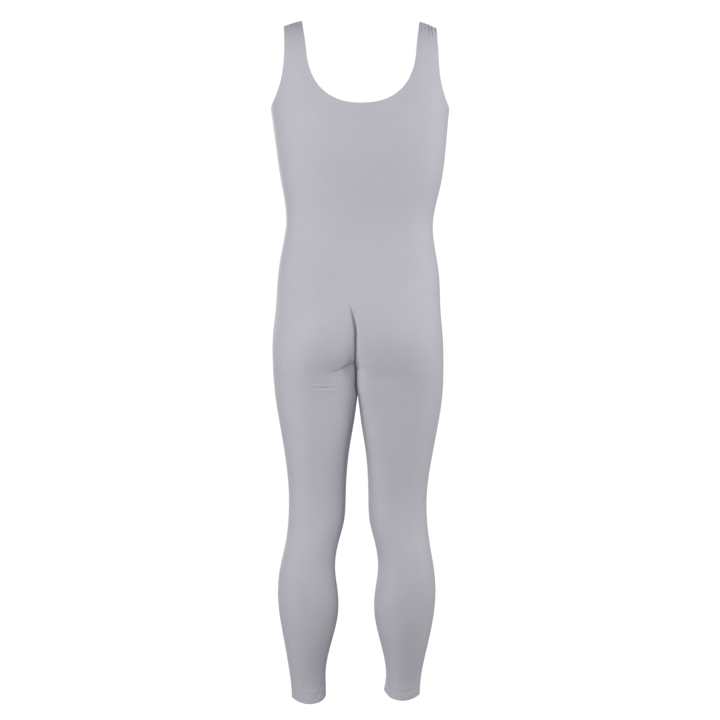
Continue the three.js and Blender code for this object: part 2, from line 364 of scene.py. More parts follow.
# Creases. Each is a soft trough in one half, or in both. Its route is a few points (across, drop), with
# the garment's own left as plus. Its depth is given at the route's start, middle and end, and is below
# zero for a ridge. Then come its width above and below, and how high the ridges beside it are.
SEAT_FOLD = [(19.5, 566), (15, 583), (10.3, 600), (5.6, 622), (4.4, 640), (4.3, 668), (4, 686), (1.6, 708)]
UNDER_SEAT_LEFT = [(6, 702), (16, 704.5), (29, 708.5), (44, 713.5), (58, 716), (78, 717), (108, 716)]
UNDER_SEAT_RIGHT = [(-4, 703), (-25, 716), (-48, 723), (-76, 727), (-98, 733)]
CREASES = {
    # The seat, drawn in along the centre seam, the sharp line of the fold itself and the knot at its end
    ("back", "both"): [
        (SEAT_FOLD, (0, 3, 1), 4, 4, 0.3),
        (SEAT_FOLD[1:], (0.4, 12, 12), 1.25, 1.25, 0),
        ([(3.2, 695), (2.2, 703)], (3, 4.5, 3), 2.8, 2.8, 0),
    ],
    ("back", "left"): [
        # The seat rolls in to that line, and hangs a little over the thigh
        (SEAT_FOLD, (0, 4.6, 7), 17, 17, 0),
        (UNDER_SEAT_LEFT, (5.5, 5.2, 0.4), 18, 90, 0),
        (UNDER_SEAT_LEFT[:5], (3.2, 2.9, 0.3), 3, 20, 0),
        # Two thin ridges across the thigh, with a wrinkle between them
        ([(118, 738), (95, 740), (71, 741), (48, 741)], (-0.2, -0.7, -0.4), 1.7, 1.7, 0.2),
        ([(93, 749), (79, 750), (65, 750), (48, 750)], (-0.1, -0.8, -0.4), 1.7, 1.7, 0.2),
        ([(89, 745), (75, 746), (61, 746), (48, 746)], (0.1, 1, 0.4), 1.6, 1.6, 0.2),
        # Drag lines at the hem's inner corner
        ([(66, 1339), (73, 1356), (84, 1371)], (0.2, 1.4, 0.2), 2.4, 2.4, 0.8),
        ([(68, 1354), (75, 1366), (85, 1378)], (0.3, 1.3, 0.3), 2, 2, 0.8),
    ],
    ("back", "right"): [
        # The seat is plainer here, with a shallow crease below it
        (UNDER_SEAT_RIGHT, (0.6, 2.4, 0.6), 20, 20, 0),
        # Drag lines at the hem's inner corner, and one at its outer corner
        ([(-62, 1336), (-65, 1350), (-72, 1363)], (0, 1.2, 0.3), 2.2, 2.2, 0.8),
        ([(-72, 1342), (-76, 1354), (-84, 1366)], (0, 0.9, 0.2), 2.2, 2.2, 0.8),
        ([(-116, 1336), (-110, 1350), (-100, 1362)], (0, 0.7, 0.2), 2.4, 2.4, 0.8),
    ],
    # The front: drag lines from the crotch towards the hip, one over the thigh, one at the knee and one
    # at the hem, and the underarm drawn a little towards the neck
    ("front", "left"): [
        ([(3, 694), (24, 682), (52, 664), (84, 640)], (2.2, 1.5, 0), 6, 6, 0.6),
        ([(6, 704), (34, 699), (68, 690), (104, 676)], (1.8, 1.2, 0), 6, 5, 0.6),
        ([(46, 722), (70, 718), (96, 716), (118, 719)], (0, 0.8, 0), 2.2, 2, 0.9),
        ([(62, 968), (84, 975), (108, 972)], (0, 0.6, 0), 4, 4, 0.9),
        ([(72, 1332), (80, 1344), (92, 1352)], (0.1, 1, 0.2), 2.6, 2.6, 0.8),
        ([(160, 196), (138, 216), (112, 232)], (0.9, 0.8, 0), 6, 6, 0.7),
    ],
    ("front", "right"): [
        ([(-3, 696), (-22, 686), (-49, 671), (-76, 652)], (2, 1.6, 0), 6, 6, 0.6),
        ([(-6, 706), (-30, 703), (-60, 697), (-96, 688)], (1.4, 1.1, 0), 5, 5, 0.6),
        ([(-52, 728), (-74, 724), (-98, 724)], (0, 0.6, 0), 2, 2, 0.9),
        ([(-66, 981), (-88, 986), (-110, 981)], (0, 0.5, 0), 4, 4, 0.9),
        ([(-120, 1322), (-112, 1336), (-104, 1346)], (0.1, 0.9, 0.2), 2.6, 2.6, 0.8),
        ([(-162, 198), (-141, 214), (-116, 226)], (0.7, 0.9, 0), 6, 6, 0.7),
    ],
}

# Puckers that run down from the shoulder seam on each panel, and a little way into the other one: how
# far across the strap each lies, as a share, and how deep, wide and long it is
PUCKERS = {
    ("back", "left"): [(0.1, 0.45, 2.2, 48), (0.26, 0.7, 2, 52), (0.55, 0.4, 2.6, 40), (0.8, 0.5, 2.4, 56)],
    ("back", "right"): [
        (0.08, 0.6, 2, 60), (0.27, 1, 2.2, 74), (0.49, 2.5, 2.1, 84), (0.69, 2.5, 1.9, 72),
        (0.89, 1.8, 1.7, 62),
    ],
    ("front", "left"): [(0.18, 0.6, 2.3, 42), (0.44, 0.5, 2.5, 34), (0.74, 0.75, 2.2, 46)],
    ("front", "right"): [
        (0.15, 0.5, 2.3, 34), (0.41, 0.9, 2.5, 46), (0.63, 0.6, 2.1, 38), (0.84, 0.7, 2.2, 30),
    ],
}
PUCKER_RIDGE = 0.9
PUCKER_FADE_POWER = 1.5
PUCKER_PAST_SEAM = 16       # how far each pucker runs on into the other panel

# Ripples between the stitches of the shoulder seam: how high, how close and where each starts
RIPPLES = [(0.12, 2.1, 0), (0.08, 3.7, 1)]
RIPPLES_FADE = 5

ROUTE_STEPS = 10
CREASE_REACH = 3            # how many of its widths a crease reaches
SEAM_HOLD = 0.22            # the angle over which a crease fades out at a side or inside leg seam
CENTRE_HOLD = 4             # how near the middle a crease of one half fades out
SIDEWAYS_HOLD = 25          # how near the middle a crease moves the cloth straight in


def smooth_route(points):
    """More points on a smooth line through a crease's own."""
    last = len(points) - 1
    fine = np.linspace(0, last, ROUTE_STEPS * last + 1)
    return np.stack([smooth_curve(range(last + 1), values)(fine) for values in zip(*points)], axis=1)


def trough(q, ridge):
    return (1 - ridge * q * q) * np.exp(-q * q)


def crease_height(half, face, x, drop):
    """How far the creases move the cloth, minus for in, at points across and below the crest."""
    height = np.zeros_like(x)
    shares = {"both": np.ones_like(x), half: smooth_step(np.abs(x), 0, CENTRE_HOLD)}
    rows = [(share, *row) for where, share in shares.items() for row in CREASES.get((face, where), [])]
    for share, route, depths, wide_above, wide_below, ridge in rows:
        route = smooth_route(route)
        reach = CREASE_REACH * max(wide_above, wide_below)
        low, high = route.min(0) - reach, route.max(0) + reach
        near = (x > low[0]) & (x < high[0]) & (drop > low[1]) & (drop < high[1])
        if not near.any():
            continue
        at = np.stack([x[near], drop[near]], axis=1)[:, None]
        part, gap = from_segments(at, route[:-1], np.diff(route, axis=0))
        closest = np.linalg.norm(gap, axis=-1).argmin(1)
        each = np.arange(len(at))
        gap, part = gap[each, closest], part[each, closest]
        along = (closest + part) / (len(route) - 1)
        wide = np.where(gap[:, 1] > 0, wide_below, wide_above)
        depth = np.interp(along, (0, 0.25, 0.5, 0.75, 1), spread_depths(depths))
        height[near] -= share[near] * depth * trough(np.linalg.norm(gap, axis=1) / wide, ridge)
    return height


def spread_depths(depths):
    """Five depths along a crease from its three, so that it fades softly."""
    start, middle, end = depths
    return start, 0.2 * start + 0.8 * middle, middle, 0.25 * end + 0.75 * middle, end


def pucker_height(half, face, x, below_seam):
    """How far the puckers under the shoulder seam move the cloth. x is across, plus on both halves."""
    height = np.zeros_like(x)
    strap = STRAP_OUTER[half] - STRAP_INNER[half]
    for panel in ("back", "front"):
        for across, depth, wide, length in PUCKERS[panel, half]:
            middle = STRAP_INNER[half] + strap * across
            reach = length if panel == face else PUCKER_PAST_SEAM
            fades = np.clip(1 - below_seam / reach, 0, 1) ** PUCKER_FADE_POWER
            height -= depth * fades * trough((x - middle) / wide, PUCKER_RIDGE)
    ripples = sum(high * np.sin(x * close + start) for high, close, start in RIPPLES)
    return height + ripples * np.exp(-below_seam / RIPPLES_FADE)


# How far each hem flares out and rides up at the inside leg, and how far up and round it does so
HEM_FLARE = {"left": -0.8, "right": 2.8}
HEM_RISE = {"left": 3, "right": 8}
HEM_FLARE_TALL = 34
HEM_RISE_TALL = 70
HEM_INNER_TURN = 0.55


def at_hem_corner(half, face, angle, run, tall):
    """How near places are to the hem's inner corner, as a share of its own shape that they get."""
    above_hem = np.maximum(0, run_at(face, HEM_DROP[half]) - run)
    return np.exp(-((angle + QUARTER) / HEM_INNER_TURN) ** 2) * fade(above_hem, tall)


def seam_run(face):
    """The run at which a face's panel starts, at the shoulder seam."""
    return FACE_WAY[face] * SEAM_BEHIND_CREST


def cloth_height(half, face, points, angle, run):
    """The creases and puckers at points of the form. Creases fade where two panels are sewn together."""
    x, drop = WAY[half] * points[..., 0], -points[..., 2]
    sewn = smooth_step(QUARTER - np.abs(angle), 0, SEAM_HOLD)
    creases = np.where(run >= 0, crease_height(half, face, x, drop) * sewn, 0)
    creases = creases + HEM_FLARE[half] * at_hem_corner(half, face, angle, run, HEM_FLARE_TALL)
    return creases + pucker_height(half, face, points[..., 0], np.maximum(0, run - seam_run(face)))


# How far each strap's inner and outer edges are drawn across at the crest, by the pull of its seam,
# and over which runs that fades
STRAP_DRAWN = {"left": (1.9, 0.1), "right": (0.9, -2.4)}
STRAP_DRAWN_FADES = (50, 118)


def strap_drawn(half, points, run):
    """How far points of a strap move across, away from the middle as plus."""
    across = (points[..., 0] - STRAP_INNER[half]) / (STRAP_OUTER[half] - STRAP_INNER[half])
    inner, outer = STRAP_DRAWN[half]
    share = 1 - smooth_step(np.abs(run), *STRAP_DRAWN_FADES)
    return (inner + (outer - inner) * np.clip(across, 0, 1)) * share


# How far the back is drawn to the left where the thighs meet, over which drops, how wide, how far back
DRAWN_LEFT = 3.6
DRAWN_DROPS = (688, 712, 736, 768)
DRAWN_WIDE = 30
DRAWN_BEHIND = (15, 60)


def drawn_left(half, points):
    """How far points move across, away from the middle as plus, where the back is drawn to the left."""
    across, back, drop = points[..., 0], points[..., 1], -points[..., 2]
    starts, full, fades, ends = DRAWN_DROPS
    share = smooth_step(drop, starts, full) * (1 - smooth_step(drop, fades, ends))
    near = np.exp(-(across / DRAWN_WIDE) ** 2) * smooth_step(back, *DRAWN_BEHIND)
    return WAY[half] * DRAWN_LEFT * share * near


def cloth_face(half, face, angle, run, more=0):
    """Points of the cloth's outer face, and the way out of it."""
    form = body_point(half, face, angle, run)
    normal = body_normal(half, face, angle, run)
    move = normal * (cloth_height(half, face, form, angle, run) + more)[..., None]
    move[..., 0] *= smooth_step(form[..., 0], 0, SIDEWAYS_HOLD)
    move[..., 0] += drawn_left(half, form) + strap_drawn(half, form, run)
    move[..., 2] += HEM_RISE[half] * at_hem_corner(half, face, angle, run, HEM_RISE_TALL)
    return form + move, normal


def even_runs(point_at, start, end, count, density, turns_sharply):
    """Runs that divide an edge of a panel, closer together where the density is higher."""
    share = np.linspace(0, 1, EDGE_SAMPLES)
    runs = start + (end - start) * (1 - (1 - share) ** 3 if turns_sharply else share)
    weighted = running_total(step_lengths(point_at(runs)) * density((runs[1:] + runs[:-1]) / 2))
    return np.interp(np.linspace(0, weighted[-1], count + 1), weighted, runs)


def denser(distance, extra, reach):
    return extra * np.exp(-distance / reach)


def panel_runs(half, face):
    """The runs at which a panel's rows start on its inner long edge and end on its outer one."""
    top = seam_run(face)
    hem = run_at(face, HEM_DROP[half])
    at_crotch = run_at(face, CROTCH_DROP)
    fine_start, fine_end = (run_at(face, drop) for drop in FINE_DROPS[face])

    def density(run):
        at_seam = denser(run - top, *ROWS_AT_SEAM)
        starting = smooth_step(run, fine_start - FINE_EASE, fine_start)
        ending = smooth_step(run, fine_end, fine_end + FINE_EASE)
        in_folds = ROWS_IN_FOLDS * starting * (1 - ending)
        at_needles = ROWS_AT_NEEDLES * np.exp(-((hem - run - NEEDLES_ABOVE_HEM) / NEEDLES_SPREAD) ** 4)
        at_hem = denser(hem - run, *ROWS_AT_HEM) + at_needles
        return 1 + at_seam + in_folds + at_hem

    to_hem = (HEM_DROP[half], HEM_DROP[half], ROWS_TO_HEM[face])
    inner_drops, outer_drops, rows = zip(*NET_STOPS[face], to_hem)

    def join(edge_angle, drops):
        def point_at(run):
            return body_point(half, face, edge_angle(half, face, run), run)

        ends = [top, *[run_at(face, drop) for drop in drops]]
        parts = [
            even_runs(point_at, start, end, count, density, turns_sharply=end == at_crotch)
            for start, end, count in zip(ends, ends[1:], rows)
        ]
        return np.concatenate([[top], *[part[1:] for part in parts]])

    return join(start_angle, inner_drops), join(end_angle, outer_drops)


def row_angles(start, end, part):
    """The angles along a row, closer together where the flat of the seat makes them reach further."""
    even = start + (end - start) * part
    return np.where(even < 0, -even * even / np.maximum(-start, 1e-6), even)


def panel_net(half, face):
    """The net of a panel: angles, runs, and distances from its two long edges."""
    inner, outer = panel_runs(half, face)
    start, end = start_angle(half, face, inner), end_angle(half, face, outer)
    part = np.linspace(0, 1, ROW_SAMPLES)
    angles = row_angles(start[:, None], end[:, None], part)
    runs = inner[:, None] + (outer - inner)[:, None] * part
    steps = step_lengths(body_point(half, face, angles, runs))
    along = running_total(steps)
    width = along[:, -1:]
    at_inner, at_outer = denser(along, *COLUMNS_AT_INNER), denser(width - along, *COLUMNS_AT_OUTER)
    density = 1 + at_inner + at_outer + denser(along, *COLUMNS_IN_FOLD)
    weighted = running_total(steps * (density[:, 1:] + density[:, :-1]) / 2)
    wanted = np.linspace(0, 1, PANEL_COLUMNS[face] + 1)
    parts = np.array([np.interp(wanted * row[-1], row, part) for row in weighted])
    from_inner = np.array([np.interp(p, part, row) for p, row in zip(parts, along)])
    return {
        "angle": row_angles(start[:, None], end[:, None], parts),
        "run": inner[:, None] + (outer - inner)[:, None] * parts,
        "from_inner": from_inner,
        "from_outer": width - from_inner,
    }


# How deep the cloth dips at each kind of seam and at a turned edge, and how wide that dip is
SEAM_DIPS = {"centre": 0.04, "side": 0.28, "inside_leg": 0.28, "shoulder": 1.0}
SEAM_DIP_WIDE = 2.2
TURNED_DIP = 0.55
TURNED_DIP_WIDE = 2.4
EDGE_REACH = 26             # how near an edge its distance is measured
WELL_AWAY = 1000.0
EDGE_LINE_STEPS = 600
ALLOWANCE_EASE = 0.6
ALLOWANCE_TURNED_EASE = 4   # over how much of a turned edge's double part a seam allowance thins out
JUST_SHORT = 0.01           # lets the row at the end of an edge count as past it
GRAIN_SAMPLES = 40


def turned_relief(which, distance):
    """How far the double cloth at a turned edge stands out, drawn in along its needle rows."""
    edge = TURNED_EDGES[which]
    stands = edge["stands"] * up_to(distance, edge["turning"], TURNED_STEP_EASE)
    puffs = edge["puffs"] * np.exp(-((distance - edge["turning"] - PUFF_ABOVE) / PUFF_WIDE) ** 2)
    drawn_in = sum(edge["drawn_in"] * np.exp(-((distance - row) / NEEDLE_WIDE) ** 2) for row in edge["rows"])
    return stands + puffs - drawn_in


def edge_distance(points, line):
    """How far points lie from a line of closely spaced points."""
    distance = np.full(points.shape[:-1], WELL_AWAY)
    near = ((points > line.min(0) - EDGE_REACH) & (points < line.max(0) + EDGE_REACH)).all(-1)
    tree = KDTree(len(line))
    for i, point in enumerate(line):
        tree.insert(point, i)
    tree.balance()
    at = points[near]
    closest = np.array([tree.find(point)[1] for point in at])
    gaps = []
    for i in (np.maximum(closest - 1, 0), np.minimum(closest, len(line) - 2)):
        gaps.append(np.linalg.norm(from_segments(at, line[i], line[i + 1] - line[i])[1], axis=-1))
    distance[near] = np.minimum(*gaps)
    return distance


def edge_heights(half, face, net):
    """How the cloth's outer and inner faces move at its seams and turned edges."""
    run, inner_run, outer_run = net["run"], net["run"][:, :1], net["run"][:, -1:]
    form = body_point(half, face, net["angle"], run)
    from_edge = {"hem": run_at(face, HEM_DROP[half]) - run}
    for which in ("neck", "armhole"):
        line = body_point(half, face, *edge_path(half, face, which, EDGE_LINE_STEPS)[:2])
        from_edge[which] = edge_distance(form, line)
    below_neck = inner_run > run_at(face, NECK_DROP[face]) - JUST_SHORT
    below_armhole = outer_run > run_at(face, UNDERARM_DROP) - JUST_SHORT
    in_leg = inner_run > run_at(face, LEGS_PART_DROP)
    seams = [
        (net["from_inner"], below_neck, np.where(in_leg, SEAM_DIPS["inside_leg"], SEAM_DIPS["centre"])),
        (net["from_outer"], below_armhole, SEAM_DIPS["side"]),
        (run - seam_run(face), True, SEAM_DIPS["shoulder"]),
    ]
    dips = [np.where(sewn, -depth * fade(distance, SEAM_DIP_WIDE), 0) for distance, sewn, depth in seams]
    dips += [-TURNED_DIP * fade(distance, TURNED_DIP_WIDE) for distance in from_edge.values()]
    relief = sum(turned_relief(which, distance) for which, distance in from_edge.items())
    outer_face = np.minimum.reduce(dips) + relief
    thicker = np.maximum.reduce([
        np.where(sewn, up_to(distance, SEAM_ALLOWANCE, ALLOWANCE_EASE), 0) for distance, sewn, _ in seams
    ])
    for which, distance in from_edge.items():
        turning = TURNED_EDGES[which]["turning"]
        thicker = thicker * smooth_step(distance, turning - ALLOWANCE_TURNED_EASE, turning)
    return outer_face, relief - JERSEY_THICK - ALLOWANCE_THICK * thicker


def grain_places(half, face, net):
    """Where each point lies on the flat cloth: across from the side seam's line, and down the run."""
    end, run = net["angle"][:, -1:], net["run"][:, -1:]
    past = end + (QUARTER - end) * np.linspace(0, 1, GRAIN_SAMPLES)
    beyond = body_point(half, face, past, np.repeat(run, GRAIN_SAMPLES, axis=1))
    extra = step_lengths(beyond).sum(1, keepdims=True)
    return np.stack([net["from_outer"] + extra, net["run"]], axis=-1)


def add_object(name, data):
    item = bpy.data.objects.new(name, data)
    bpy.context.scene.collection.objects.link(item)
    return item


def smooth_mesh(name, points, faces, material):
    """A smooth mesh from points in metres."""
    mesh = bpy.data.meshes.new(name)
    mesh.from_pydata(points, [], faces)
    mesh.validate()
    mesh.shade_smooth()
    mesh.materials.append(material)
    return add_object(name, mesh)


def sewn_piece(name, points, faces, half, material):
    """A smooth mesh from points in millimetres, drawn for the left half and mirrored for the right."""
    points = np.array(points, float).reshape(-1, 3) * [WAY[half] * MM, MM, MM]
    return smooth_mesh(name, points.tolist(), faces, material)


def net_faces(places, turned):
    """The four-sided faces of a net, from its points' places in the mesh, row by row."""
    corners = [places[:-1, :-1], places[1:, :-1], places[1:, 1:], places[:-1, 1:]]
    if turned:
        corners.reverse()
    return np.stack([corner.ravel() for corner in corners], axis=1)


def loop_of(places):
    """The points round the edge of a net, in order."""
    return np.concatenate([places[0, :-1], places[:-1, -1], places[-1, :0:-1], places[:0:-1, 0]])


def tube_sides(rings, around, first=0):
    """The four-sided faces between rings of points, ring by ring."""
    faces = []
    for ring in range(first, first + around * (rings - 1), around):
        for side in range(around):
            a, b = ring + side, ring + (side + 1) % around
            faces.append((a, b, b + around, a + around))
    return faces


def closed_tube(rings, around, first=0):
    """The faces of a tube whose two ends are closed."""
    last = first + around * (rings - 1)
    ends = [tuple(range(first + around - 1, first - 1, -1)), tuple(range(last, last + around))]
    return tube_sides(rings, around, first) + ends


KNIT_MAP = "knit"
# The flat layout of a panel, its outer face beside its inner face, for images baked from the looks
LAYOUT_MAP = "OFBake"
LAYOUT_MARGIN = 0.02


def add_map(mesh, name, places):
    """A map that gives each point of a mesh its place on the flat cloth."""
    layer = mesh.uv_layers.new(name=name)
    corner_points = np.zeros(len(mesh.loops), np.int32)
    mesh.loops.foreach_get("vertex_index", corner_points)
    layer.uv.foreach_set("vector", places[corner_points].astype(np.float32).ravel())


def make_panel(half, face, jersey):
    """One panel as a thin closed shell with its creases, seams and grain."""
    net = panel_net(half, face)
    outer_face, inner_face = edge_heights(half, face, net)
    outside, normal = cloth_face(half, face, net["angle"], net["run"], outer_face)
    inside = outside + normal * (inner_face - outer_face)[..., None]

    count = net["run"].size
    places = np.arange(count).reshape(net["run"].shape)
    turned = (half == "left") == (face == "back")
    edge = loop_of(places)
    following = np.roll(edge, -1)
    rim = np.stack([edge, following, following + count, edge + count], axis=1)
    if turned:
        rim = rim[:, ::-1]
    faces = np.concatenate([net_faces(places, turned), net_faces(places + count, not turned), rim]).tolist()
    panel = sewn_piece(f"{face}_{half}_panel", [outside, inside], faces, half, jersey)
    sharpen(panel, {(int(a), int(b)) for a, b in zip(edge, following)}, count)

    grain = grain_places(half, face, net).reshape(-1, 2)
    add_map(panel.data, KNIT_MAP, np.concatenate([grain, grain]) * MM)
    low, high = grain.min(0), grain.max(0)
    flat = LAYOUT_MARGIN + (1 - 2 * LAYOUT_MARGIN) * (grain - low) / (high - low)
    beside = np.concatenate([flat * [0.5, 1], flat * [0.5, 1] + [0.5, 0]])
    add_map(panel.data, LAYOUT_MAP, beside)
    return panel


def sharpen(panel, edge_pairs, count):
    """Keeps the rim's shading apart from the faces', so that panels meet with no dark line."""
    pairs = {frozenset(p) for p in edge_pairs} | {frozenset((a + count, b + count)) for a, b in edge_pairs}
    ends = np.zeros(len(panel.data.edges) * 2, np.int32)
    panel.data.edges.foreach_get("vertices", ends)
    sharp = [frozenset(pair) in pairs for pair in ends.reshape(-1, 2).tolist()]
    panel.data.attributes.new("sharp_edge", "BOOLEAN", "EDGE").data.foreach_set("value", sharp)


def into_cloth(half, face, angle, run, way, distance):
    """The angle and run of points that lie a distance into the cloth, along a way in its surface."""
    across, down = body_slopes(half, face, angle, run)
    aa, ad, dd = (across * across).sum(-1), (across * down).sum(-1), (down * down).sum(-1)
    wa, wd = (way * across).sum(-1), (way * down).sum(-1)
    whole = np.maximum(aa * dd - ad * ad, 1e-9)
    return angle + distance * (wa * dd - wd * ad) / whole, run + distance * (wd * aa - wa * ad) / whole


PATH_SAMPLES = 8            # for each step along an edge
PATH_SLOWS = 2.5            # how strongly they close up where a neck or armhole turns level
PATH_ENDS_ABOVE = 0.001     # how far above the lowest point of a neck or armhole its path stops


def edge_path(half, face, which, steps):
    """Even angles and runs along a panel's neck, armhole or ankle edge, and its length."""
    top = seam_run(face)
    samples = steps * PATH_SAMPLES
    if which == "hem":
        run = np.full(samples, run_at(face, HEM_DROP[half]))
        angle = np.linspace(-QUARTER, QUARTER, samples)
    else:
        bottom = run_at(face, NECK_DROP[face] if which == "neck" else UNDERARM_DROP) - PATH_ENDS_ABOVE
        share = np.linspace(0, 1, samples)
        run = top + (bottom - top) * (1 - (1 - share) ** PATH_SLOWS)
        angle = (start_angle if which == "neck" else end_angle)(half, face, run)
        angle[-1] = 0 if which == "neck" else QUARTER
    along = running_total(step_lengths(body_point(half, face, angle, run)))
    even = np.linspace(0, along[-1], steps + 1)
    return np.interp(even, along, angle), np.interp(even, along, run), along[-1]


# Which way the cloth lies from each edge's path on the back, as a sign. On the front it is the other way.
CLOTH_SIDE = {"neck": -1, "armhole": 1, "hem": -1}


def way_in(half, face, which, angle, run):
    """The direction in the surface that leads into the cloth, square to the edge."""
    tangent = np.gradient(body_point(half, face, angle, run), axis=0)
    if which == "neck":
        tangent[-1] = (-1, 0, 0)
    way = unit(np.cross(body_normal(half, face, angle, run), unit(tangent)))
    return way * CLOTH_SIDE[which] * FACE_WAY[face]


# A turned edge's section: how far into the cloth each corner lies, and how far out of its outer face.
# The last four lie from where the turned cloth ends.
TURNED_ROLL = [
    (2.8, -0.5), (1.9, -0.13), (1.2, 0.05), (0.6, -0.02), (0.18, -0.32), (0, -0.85), (0.18, -1.38),
    (0.6, -1.66), (1.3, -1.75),
]
TURNED_END = [(-0.5, -1.7), (0, -1.45), (0, -0.65), (-3, -0.5)]


def cloth_points(half, face, which, angle, run, distance, height):
    """Points a distance into the cloth from an edge, and a height out of its outer face."""
    way = way_in(half, face, which, angle, run)
    angle, run = into_cloth(half, face, angle, run, way, distance)
    points, normal = cloth_face(half, face, angle, run, turned_relief(which, distance))
    return points + normal * height, normal


def turned_edge(half, face, which, jersey):
    """The cloth turned in at the neck, an armhole or an ankle, as one closed roll."""
    steps, turning = TURNED_EDGES[which]["steps"], TURNED_EDGES[which]["turning"]
    angle, run, length = edge_path(half, face, which, steps)
    section = TURNED_ROLL + [(turning + into, height) for into, height in TURNED_END]
    rings = np.stack([
        cloth_points(half, face, which, angle, run, into, height)[0] for into, height in section
    ], axis=1)
    around = len(section)
    faces = closed_tube(steps + 1, around)
    piece = sewn_piece(f"{face}_{half}_{which}_turning", rings, faces, half, jersey)
    face_out(piece)
    down = np.repeat(np.linspace(0, length, steps + 1)[:, None], around, axis=1)
    into = np.repeat(np.array(section)[None, :, 0], steps + 1, axis=0)
    add_map(piece.data, KNIT_MAP, np.stack([into, down], axis=-1).reshape(-1, 2) * MM)
    return piece


def face_out(piece):
    """Turns a closed mesh's faces outwards."""
    mesh = bmesh.new()
    mesh.from_mesh(piece.data)
    bmesh.ops.recalc_face_normals(mesh, faces=mesh.faces)
    mesh.to_mesh(piece.data)
    mesh.free()


# The heights of a stitch's thread above the cloth, by how far along the stitch it has come
STITCH_RISE = [(0, -0.25), (0.18, 0.12), (0.5, 0.2), (0.82, 0.12), (1, -0.25)]
STITCH_SIDES = 6
STITCH_FILLS = 0.82         # the share of its length that each stitch shows on the cloth
STITCH_COUNT_STEPS = 40     # steps in which an edge is measured to count its stitches

# How far apart the stitches across a shoulder seam are, and how far each reaches on both sides of it
SHOULDER_STITCH_APART = 3.1
SHOULDER_STITCH_REACH = 1.9


def stitch_piece(name, half, stitches, thread):
    """A piece of many stitches, each a thread that comes up, lies on the cloth and goes down again."""
    points, faces = [], []
    turns = np.arange(STITCH_SIDES) * 2 * math.pi / STITCH_SIDES
    for start, end, normal in stitches:
        along = end - start
        ring = np.outer(np.cos(turns), np.cross(unit(along), normal)) + np.outer(np.sin(turns), normal)
        for part, height in STITCH_RISE:
            points.append(start + along * part + normal * height + THREAD_RADIUS * ring)
    around, rings = STITCH_SIDES, len(STITCH_RISE)
    for first in range(0, len(stitches) * around * rings, around * rings):
        faces += closed_tube(rings, around, first)
    piece = sewn_piece(name, np.concatenate(points), faces, half, thread)
    face_out(piece)
    return piece


def edge_stitches(half, face, which, thread):
    """The stitches along one edge of a panel, joined into one piece."""
    edge, stitches = TURNED_EDGES[which], []
    count = int(edge_path(half, face, which, STITCH_COUNT_STEPS)[2] / edge["stitch"])
    angle, run, _ = edge_path(half, face, which, count)
    side = np.where(np.arange(len(run)) % 2 == 0, 1, -1) * edge["zigzag"]
    for row in edge["rows"]:
        places, normals = cloth_points(half, face, which, angle, run, row + side, 0)
        for start, end, normal in zip(places, places[1:], normals):
            stitches.append((start, start + (end - start) * STITCH_FILLS, normal))
    return stitch_piece(f"{face}_{half}_{which}_stitches", half, stitches, thread)


def shoulder_stitches(half, thread):
    """Short stitches that bridge a shoulder seam, where the pull of the strap shows its thread."""
    run = np.full(1, float(SEAM_BEHIND_CREST))
    start, end = start_angle(half, "back", run)[0], end_angle(half, "back", run)[0]
    count = int((STRAP_OUTER[half] - STRAP_INNER[half]) / SHOULDER_STITCH_APART)
    angle = start + (end - start) * (np.arange(count) + 0.5) / count
    front, _ = cloth_face(half, "back", angle, run - SHOULDER_STITCH_REACH)
    back, normals = cloth_face(half, "back", angle, run + SHOULDER_STITCH_REACH)
    return stitch_piece(f"back_{half}_shoulder_stitches", half, list(zip(front, back, normals)), thread)


# Colours, as sRGB hex
JERSEY_GREY = "#c2c1ca"
JERSEY_SHADE = "#b9b8c2"
# The thread is drawn lighter than the jersey: painted highlight for the light that its stitches catch
THREAD_HIGHLIGHT_GREY = "#dddce4"
COVE_WHITE = "#f7f7f8"


def linear(hex_colour):
    """An sRGB hex colour as a linear one with full alpha."""
    parts = [int(hex_colour[i:i + 2], 16) / 255 for i in (1, 3, 5)]
    return [c / 12.92 if c <= 0.04045 else ((c + 0.055) / 1.055) ** 2.4 for c in parts] + [1]


def add_node(tree, kind, settings=None, **inputs):
    """A node with its settings and its inputs, each a value or another node's output."""
    node = tree.nodes.new(kind)
    for name, value in (settings or {}).items():
        setattr(node, name, value)
    for name, value in inputs.items():
        socket = node.inputs[int(name[1:])] if name[0] == "_" else node.inputs[name.replace("_", " ")]
        if isinstance(value, bpy.types.NodeSocket):
            tree.links.new(value, socket)
        else:
            socket.default_value = value
    return node


def new_material(name):
    material = bpy.data.materials.new(name)
    material.use_nodes = True
    material.node_tree.nodes.clear()
    return material, material.node_tree


def finish_material(material, shader):
    add_node(material.node_tree, "ShaderNodeOutputMaterial", Surface=shader.outputs["BSDF"])
    return material


